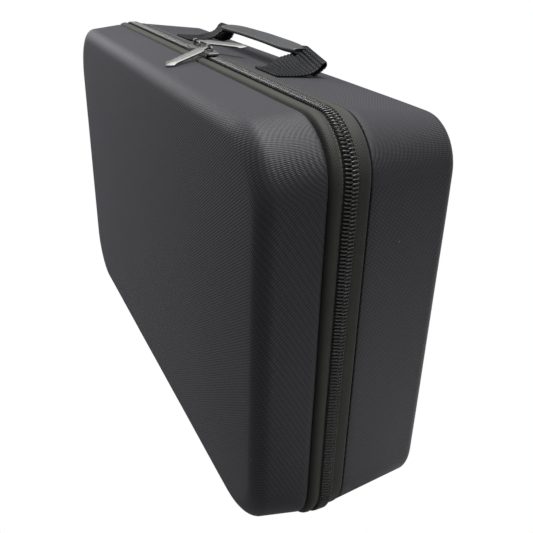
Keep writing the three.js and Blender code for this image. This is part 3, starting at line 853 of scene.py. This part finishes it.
def add_slider(name, nose, metal):
    """A slider: its plate, raised boss, the skirt over the coil's edge, and the bail for the pull."""
    low, high = (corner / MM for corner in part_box(f"zip_slider_{name}"))
    centre = (low.x + high.x) / 2
    base = HALF_Z + COIL_TOP + GAP
    top = base + SLIDER_PLATE
    bail_z = pull_pivot(name).z
    plan = [(centre + x, y) for x, y in slider_plan(nose)]
    plate = bevelled(prism("plate", plan, base, top, metal), 0.5)
    crown = [(centre + 0.72 * (x - centre), 0.5 * y) for x, y in plan]
    boss = bevelled(prism("boss", crown, top - 0.4, top + 0.45, metal), 0.35)
    start, end = centre - SKIRT_HALF, centre + SKIRT_HALF
    outside, inside = -SLIDER_WIDTH / 2 + 0.15, -SLIDER_WIDTH / 2 + 1.0
    skirt = prism("skirt", [(start, outside), (end, outside), (end, inside), (start, inside)],
                  base - 1.7, base + 0.5, metal)
    arch = [(-BAIL_HALF, 0, top - 0.4), (-BAIL_HALF, 0, top + 1.7), (-BAIL_HALF + 0.9, 0, bail_z - 0.15),
            (-BAIL_HALF + 2.3, 0, bail_z), (BAIL_HALF - 2.3, 0, bail_z), (BAIL_HALF - 0.9, 0, bail_z - 0.15),
            (BAIL_HALF, 0, top + 1.7), (BAIL_HALF, 0, top - 0.4)]
    line = [(centre + p.x, p.y, p.z) for p in smooth_line(arch, 5)]
    bail = tube("bail", line, BAIL_RADIUS, metal)
    slider = joined(f"zip_slider_{name}_cast", [plate, boss, bevelled(skirt, 0.25), bail])
    settle(slider, f"slider_{name}", "zip_metal", f"zip_slider_{name}")


# Along the pull: distance, half width, half width of the raised flat, then the thickness at the edge
# and in the middle.
PULL_STATIONS = [(1.5, 1.2, 0.8, 1.0, 1.5), (4.8, 1.5, 1.0, 1.0, 1.7), (5.6, 1.7, 1.1, 1.0, 1.7),
                 (7.6, 3.3, 2.6, 0.9, 1.7), (9.0, 3.4, 2.7, 0.9, 1.7), (30.0, 3.0, 2.3, 0.9, 1.7),
                 (30.8, 2.9, 1.5, 0.9, 1.6), (33.8, 3.9, 0.15, 0.6, 2.0), (37.9, 0.3, 0.05, 0.5, 0.7)]
EYE_RADIUS = 1.52
EYE_WALL = 0.38
EYE_HALF = 1.4
EYE_STEPS = 24
EYE_SECTION_STEPS = 12


def add_pull(name, heading, droop, roll, metal):
    """A pull tab on its eye. It points along x before it turns by roll, droop and heading."""
    pivot = pull_pivot(name)
    turn = (Matrix.Rotation(math.radians(heading), 3, "Z") @ Matrix.Rotation(math.radians(droop), 3, "Y")
            @ Matrix.Rotation(math.radians(roll), 3, "X"))
    rings = []
    for x, wide, flat, edge, mid in PULL_STATIONS:
        ring = [(-wide, -edge / 2), (-flat, -mid / 2), (flat, -mid / 2), (wide, -edge / 2),
                (wide, edge / 2), (flat, mid / 2), (-flat, mid / 2), (-wide, edge / 2)]
        rings.append([turn @ Vector((x, y, z)) + pivot for y, z in ring])
    bar = bevelled(ring_mesh("bar", rings, lambda r, i: (r, i), metal, "caps"), 0.16, 2)
    shade_smooth(bar.data)
    eye_rings = []
    for k in range(EYE_STEPS):
        angle = 2 * math.pi * k / EYE_STEPS
        spoke = Vector((0, math.cos(angle), math.sin(angle)))
        eye_rings.append([pivot + spoke * (EYE_RADIUS + EYE_WALL * rounded(math.cos(a)))
                          + Vector((EYE_HALF * rounded(math.sin(a)), 0, 0))
                          for a in (2 * math.pi * i / EYE_SECTION_STEPS for i in range(EYE_SECTION_STEPS))])
    eye = ring_mesh("eye", eye_rings, lambda r, i: (r, i), metal, "loop")
    pull = joined(f"zip_pull_{name}_cast", [bar, eye])
    settle(pull, f"pull_{name}", "zip_metal", f"zip_pull_{name}")


# ---- Handle ---------------------------------------------------------------------------------
STRAP_INNER_X = 62.0
STRAP_OUTER_X = 88.0
STRAP_THICK = 1.6
STRAP_STEPS = 16
STRAP_COLUMNS = 52
# How far the outer edge spreads towards the zip, where the strap lies down on the shell.
STRAP_FLARE = 6.5
# How far the middle sinks between the edges on the way up to the fold: depth where it starts, and run.
STRAP_SINK = 1.3
STRAP_SINK_START = 24
STRAP_SINK_RUN = 22
# How far the inner edge reaches into the mouth of the grip's sleeve, and how far along the strap.
STRAP_TUCK = 3.0
STRAP_TUCK_REACH = 6
# How high the woven ribs stand, and how far their relief is let down into the strap.
RIB_HEIGHT = 0.42
RIB_SUNK = 0.25
# Depth, then the height above the tub's top at the inner and the outer edge. The crest is the eighth
# row; the rows after it are the layer that folds back under.
STRAP_CREST = 7
STRAP_RUNS = {
    "left": [(14.5, 0.9, 0.9), (20, 0.95, 0.9), (25, 1.6, 1.2), (31, 3.2, 1.8), (36, 5.4, 3.2),
             (41, 9.4, 4.8), (45.5, 12.2, 7.4), (49, 13.2, 12.2), (51.0, 12.2, 12.8), (51.0, 8.6, 9.6),
             (49.2, 5.2, 5.4), (46, 3.4, 3.2), (42.5, 2.4, 1.6)],
    "right": [(14.5, 0.9, 0.9), (20, 0.95, 0.9), (25, 3.4, 1.0), (31, 7.3, 1.3), (36, 9.2, 1.9),
              (41, 10.8, 3.2), (45.5, 13.0, 5.6), (49, 15.6, 8.8), (51.0, 14.8, 9.2), (51.0, 10.6, 7.3),
              (49.2, 6.8, 5.6), (46, 4.2, 3.4), (42.5, 2.5, 1.4)]}
GRIP_LEFT = -60.5
GRIP_RIGHT = 65.0
GRIP_WIDTH = 17.0
GRIP_THICK = 4.4
GRIP_DEPTH = 44.5
GRIP_END_Z = 134.2
GRIP_ARCH = 1.3
GRIP_STATIONS = 60
GRIP_PINCH = 0.48
GRIP_MOUTH = 0.7
GRIP_SLEEVE = 0.6


def tub_top(depth):
    """The height of the tub's top at a depth."""
    return HALF_Z - TUB.inset(depth)


def strap_ribs(along, across):
    """How far the woven ribs stand out, in millimetres."""
    rib = 0.5 + 0.5 * math.sin(2 * math.pi * along / RIB_PITCH)
    dot = 0.5 + 0.5 * math.sin(2 * math.pi * across / DOT_PITCH)
    return RIB_HEIGHT * rib * (0.4 + 0.6 * dot)


def add_strap(name, direction, webbing):
    """A ribbed strap, sewn down near the zip, that rises beside the grip and folds back under."""
    run = STRAP_RUNS[name]
    rows = smooth_line(run, STRAP_STEPS)
    middle = [Vector((0, d, tub_top(d) + (a + b) / 2)) for d, a, b in rows]
    along = [0.0]
    for k in range(1, len(middle)):
        along.append(along[-1] + (middle[k] - middle[k - 1]).length)
    shares = [c / STRAP_COLUMNS for c in range(STRAP_COLUMNS + 1)]
    across = [STRAP_INNER_X + (STRAP_OUTER_X - STRAP_INNER_X) * share for share in shares]
    rings = []
    cloth = []
    for k, (depth, inner, outer) in enumerate(rows):
        ahead = (middle[min(k + 1, len(rows) - 1)] - middle[max(k - 1, 0)]).normalized()
        up = Vector((0, -ahead.z, ahead.y))
        upper = k / STRAP_STEPS <= STRAP_CREST
        rise = min(max((depth - STRAP_SINK_START) / STRAP_SINK_RUN, 0), 1) if upper else 0
        sink = STRAP_SINK * math.sin(math.pi * rise)
        to_crest = (depth - run[0][0]) / (run[STRAP_CREST][0] - run[0][0])
        reach = STRAP_OUTER_X + STRAP_FLARE * max(0, 1 - to_crest)
        tuck = STRAP_TUCK * max(0, 1 - abs(depth - GRIP_DEPTH) / STRAP_TUCK_REACH) if upper else 0
        lines = ([], [])
        for share, width in zip(shares, across):
            x = STRAP_INNER_X + (reach - STRAP_INNER_X) * share - tuck * (1 - share) ** 3
            z = tub_top(depth) + inner + (outer - inner) * share - sink * math.sin(math.pi * share)
            edge = min(share, 1 - share) * STRAP_COLUMNS
            thin = STRAP_THICK / 2 * (1 - 0.6 * max(0, 1 - edge / 1.5) ** 2)
            body = Vector((direction * x, depth, z))
            relief = strap_ribs(along[k], width) - RIB_SUNK
            lines[0].append(body + up * (thin + relief))
            lines[1].append(body - up * (thin + relief))
        rings.append(lines[0] + lines[1][::-1])
        cloth.append([(x, along[k]) for x in across + across[::-1]])
    count = len(cloth[0])
    strap = ring_mesh(f"handle_strap_{name}_webbing", rings, lambda r, i: cloth[r][i % count],
                      webbing, "caps")
    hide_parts(f"handle_strap_{name}")
    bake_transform(strap)


def grip_section(width, thick, count=32):
    """A flattened tube's section as (depth, height)."""
    return [(width / 2 * rounded(math.cos(a), 0.62), thick / 2 * rounded(math.sin(a), 0.75))
            for a in (2 * math.pi * k / count for k in range(count))]


def add_grip(sleeve):
    """The sleeve: a flat tube that arches a little, narrows at its ends and has hollow mouths."""
    shapes = []
    for k in range(GRIP_STATIONS + 1):
        share = 2 * k / GRIP_STATIONS - 1
        pinch = 1 - GRIP_PINCH * abs(share) ** 9
        flute = 1 + 0.03 * math.cos(3 * math.pi * share)
        x = (GRIP_LEFT + GRIP_RIGHT) / 2 + share * (GRIP_RIGHT - GRIP_LEFT) / 2
        shapes.append((x, GRIP_WIDTH * pinch, GRIP_THICK * flute * pinch ** 0.3))
    for end in (1, -1):
        x, wide, thick = shapes[-1] if end > 0 else shapes[0]
        inner = [(x, wide - 2 * GRIP_SLEEVE, thick - 2 * GRIP_SLEEVE),
                 (x - end * GRIP_MOUTH, wide - 4 * GRIP_SLEEVE, thick - 4 * GRIP_SLEEVE)]
        shapes = shapes + inner if end > 0 else inner[::-1] + shapes
    rings = []
    for x, wide, thick in shapes:
        z = GRIP_END_Z + GRIP_ARCH * (1 - (x / GRIP_RIGHT) ** 2)
        rings.append([(x, GRIP_DEPTH + y, z + h) for y, h in grip_section(wide, thick)])
    grip = ring_mesh("handle_grip_sleeve", rings, lambda r, i: (shapes[r][0], i), sleeve, "caps")
    settle(grip, "handle", "handle_sleeve", "handle_grip")


def add_backing(plastic, webbing):
    """The plate inside the tub that spreads the handle's load, and the strap ends sewn to it."""
    low, high = case_box("handle_backing_plate")
    corners = [(low.x, low.y), (high.x, low.y), (high.x, high.y), (low.x, high.y)]
    plate = bevelled(prism("handle_backing_plate_moulding", corners, low.z, high.z, plastic), 0.6)
    shade_smooth(plate.data)
    settle(plate, "tub", "backing_plate", "handle_backing_plate")
    for name in ("left", "right"):
        low, high = case_box(f"strap_tail_{name}")
        tail = flat_box(f"strap_tail_{name}_webbing", low, high, 24, webbing, 0.08)
        settle(tail, "tub", "webbing", f"strap_tail_{name}")


# ---- Foam -----------------------------------------------------------------------------------
FOAM_EDGE = 1.0
TRAY_WALL = 9.0
TRAY_COLUMNS = 3
TRAY_ROWS = 4
CELL_CORNER = 5.0
PAD_CORNER = 27.0
SHEET_CORNER = 20.0
EGG_PITCH = 27
EGG_DEPTH = 9.0
EGG_STEPS = (12, 130, 76)
# The waves fade in from this far inside the lid pad's edge, over this distance.
EGG_MARGIN = 8
EGG_FADE = 10
LID_PAD_EDGE = 3.0
LID_PAD_RINGS = 46


def rounded_spline(curve, centre, half_x, half_z, radius):
    """Adds a rounded rectangle to a flat curve."""
    points = [p + centre for p, _ in outline(half_x, half_z, radius, (6, 1, 1))]
    spline = curve.splines.new("POLY")
    spline.points.add(len(points) - 1)
    for place, point in zip(spline.points, points):
        place.co = (point.x * MM, point.y * MM, 0, 1)
    spline.use_cyclic_u = True


def foam_slab(name, node, corner, cells, material):
    """A sheet of foam with soft cut edges, and through cells where it has them."""
    low, high = (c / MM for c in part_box(node))
    middle = Vector(((low.x + high.x) / 2, (low.z + high.z) / 2 - CENTRE_Z))
    half_x = (high.x - low.x) / 2
    half_z = (high.z - low.z) / 2
    thick = high.y - low.y
    curve = bpy.data.curves.new(name, "CURVE")
    curve.dimensions = "2D"
    curve.fill_mode = "BOTH"
    curve.bevel_depth = FOAM_EDGE * MM
    curve.bevel_resolution = 3
    curve.offset = -FOAM_EDGE * MM
    curve.extrude = (thick / 2 - FOAM_EDGE) * MM
    rounded_spline(curve, middle, half_x, half_z, corner)
    if cells:
        width = (2 * half_x - (TRAY_COLUMNS + 1) * TRAY_WALL) / TRAY_COLUMNS
        height = (2 * half_z - (TRAY_ROWS + 1) * TRAY_WALL) / TRAY_ROWS
        for column in range(TRAY_COLUMNS):
            for row in range(TRAY_ROWS):
                x = (column - (TRAY_COLUMNS - 1) / 2) * (width + TRAY_WALL)
                z = (row - (TRAY_ROWS - 1) / 2) * (height + TRAY_WALL)
                rounded_spline(curve, middle + Vector((x, z)), width / 2, height / 2, CELL_CORNER)
    shape = link("foam_outline", curve)
    mesh = applied(shape)
    bpy.data.objects.remove(shape)
    stand = Matrix.Rotation(math.pi / 2, 4, "X")
    stand.translation = Vector((0, (low.y + high.y) / 2 * MM, CENTRE_Z * MM))
    mesh.transform(stand)
    mesh.materials.clear()
    mesh.materials.append(material)
    faced_out(mesh)
    slab = link(name, mesh)
    settle(slab, "tub", "foam", node)


def add_lid_pad(material):
    """A pad of convoluted foam: soft waves face the trays and press on what they hold."""
    low, high = (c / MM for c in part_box("foam_lid_pad"))
    half_x = (high.x - low.x) / 2
    half_z = (high.z - low.z) / 2
    back = low.y - SEAM_Y
    front = high.y - SEAM_Y
    soft = LID_PAD_EDGE
    # The last three rings give way to the soft edge.
    stations = [(front, half_z * (1 - k / LID_PAD_RINGS) * NEARLY_CLOSED) for k in range(LID_PAD_RINGS - 3)]
    for angle in (90, 67, 45, 22, 0):
        turn = math.radians(angle)
        stations.append((front - soft + soft * math.sin(turn), soft * (1 - math.cos(turn))))
    stations += [(back + soft, 0.0), (back + soft * 0.3, soft * 0.3), (back, soft),
                 (back, half_z * 0.5), (back, half_z * NEARLY_CLOSED)]
    rings = []
    for y, inset in stations:
        ring = outline(half_x - inset, half_z - inset, max(PAD_CORNER - inset, 0.02), EGG_STEPS)
        points = []
        for p, _ in ring:
            from_edge = min(half_x - abs(p.x), half_z - abs(p.y))
            fade = min(max((from_edge - EGG_MARGIN) / EGG_FADE, 0), 1) if y == front else 0
            ripple = math.cos(2 * math.pi * p.x / EGG_PITCH) * math.cos(2 * math.pi * p.y / EGG_PITCH)
            points.append((p.x, y - EGG_DEPTH * fade * (0.5 - 0.5 * ripple), p.y))
        rings.append(points)
    pad = ring_mesh("foam_lid_pad_waves", rings, lambda r, i: (i, r), material)
    settle(pad, "lid", "foam", "foam_lid_pad")


# ---- Stage ----------------------------------------------------------------------------------
TABLE_REACH = 0.6
AMBIENT = 0.22


def add_floor(material):
    """A table top whose front edge lies under the zip plane, so that the lid can swing down in front."""
    front = (SEAM_Y - 1) * MM
    left, right, back = -TABLE_REACH, TABLE_REACH, TABLE_REACH
    mesh = bpy.data.meshes.new("table_top")
    mesh.from_pydata([(left, front, 0), (right, front, 0), (right, back, 0), (left, back, 0)], [],
                     [(0, 1, 2, 3)])
    mesh.materials.append(material)
    link("table_top", mesh)


def add_light(name, place, target, size, power):
    """A square lamp in metres and watts, turned to face its target."""
    data = bpy.data.lights.new(name, "AREA")
    data.size = size
    data.energy = power
    light = link(name, data)
    light.location = place
    light.rotation_euler = (Vector(target) - Vector(place)).to_track_quat("-Z", "Y").to_euler()


def add_lighting():
    """A white studio: bright to the camera, dim on the case, with a lamp above and one at the front."""
    world = bpy.data.worlds.new("white_studio")
    bpy.context.scene.world = world
    world.use_nodes = True
    world.node_tree.nodes.clear()
    seen = add_node(world.node_tree, "ShaderNodeLightPath").outputs["Is Camera Ray"]
    strength = calc(world.node_tree, "MULTIPLY_ADD", seen, 1.0 - AMBIENT, AMBIENT)
    glow = add_node(world.node_tree, "ShaderNodeBackground",
                    {"Color": (1, 1, 1, 1), "Strength": strength})
    add_node(world.node_tree, "ShaderNodeOutputWorld", {"Surface": glow.outputs[0]})
    aim = (0, 0, CENTRE_Z * MM)
    add_light("overhead", (0.05, 0.1, 1.5), aim, 0.9, 30)
    add_light("window", (-1.4, -0.45, 0.85), aim, 0.7, 6)
    settings = bpy.context.scene.view_settings
    settings.view_transform = "Standard"
    settings.look = "None"


CAMERA_LENS = 45.14
CAMERA_PLACE = (456.5, -163.1, 199.6)
CAMERA_YAW = 0.4475
CAMERA_PITCH = 0.4595
CAMERA_ROLL = 0.027


def add_camera():
    """Looks down on the case from beyond its right end, on the lid's side."""
    data = bpy.data.cameras.new("camera")
    data.sensor_width = 36.0
    data.lens = CAMERA_LENS
    data.clip_start = 0.01
    camera = link("camera", data)
    level = math.cos(CAMERA_PITCH)
    ahead = Vector((-level * math.cos(CAMERA_YAW), level * math.sin(CAMERA_YAW), -math.sin(CAMERA_PITCH)))
    right = ahead.cross(Vector((0, 0, 1))).normalized()
    up = right.cross(ahead)
    lean, keep = math.sin(CAMERA_ROLL), math.cos(CAMERA_ROLL)
    right, up = right * keep + up * lean, up * keep - right * lean
    turn = Matrix((right, up, -ahead)).transposed().to_4x4()
    turn.translation = to_frame(CAMERA_PLACE)
    camera.matrix_world = turn
    bpy.context.scene.camera = camera


# ---- Assembly -------------------------------------------------------------------------------
nylon = oxford_nylon()
tape = zip_tape_twill()
thread = bonded_thread()
lining = brushed_tricot()
coil = extruded_nylon()
binding = grosgrain()
metal = plated_zinc()
webbing = polypropylene_webbing()
plastic = moulded_polypropylene()
foam = pu_foam()
turns = coil_turn_tree()
stitches = stitch_tree()

add_camera()
for half in (TUB, LID):
    add_shell(half, nylon, lining)
    add_tape(half, tape)
    add_binding(half, binding)
    add_coil(half, turns, stitches, coil, thread)
add_hinge(tape)
for side in ("left", "right"):
    add_end_tab(f"zip_end_tab_{side}", tape)
add_slider("left", 1, metal)
add_slider("right", -1, metal)
add_pull("left", 50, 3, 12, metal)
add_pull("right", -70, 13.5, -12, metal)
add_grip(vinyl_sleeve())
add_strap("left", -1, webbing)
add_strap("right", 1, webbing)
add_backing(plastic, webbing)
foam_slab("foam_base_pad_cut", "foam_base_pad", PAD_CORNER, False, foam)
for side in ("left", "right"):
    foam_slab(f"foam_sheet_{side}_cut", f"foam_sheet_{side}", SHEET_CORNER, False, foam)
    foam_slab(f"foam_grid_{side}_cut", f"foam_grid_{side}", SHEET_CORNER, True, foam)
add_lid_pad(foam)
add_floor(white_card())
add_lighting()
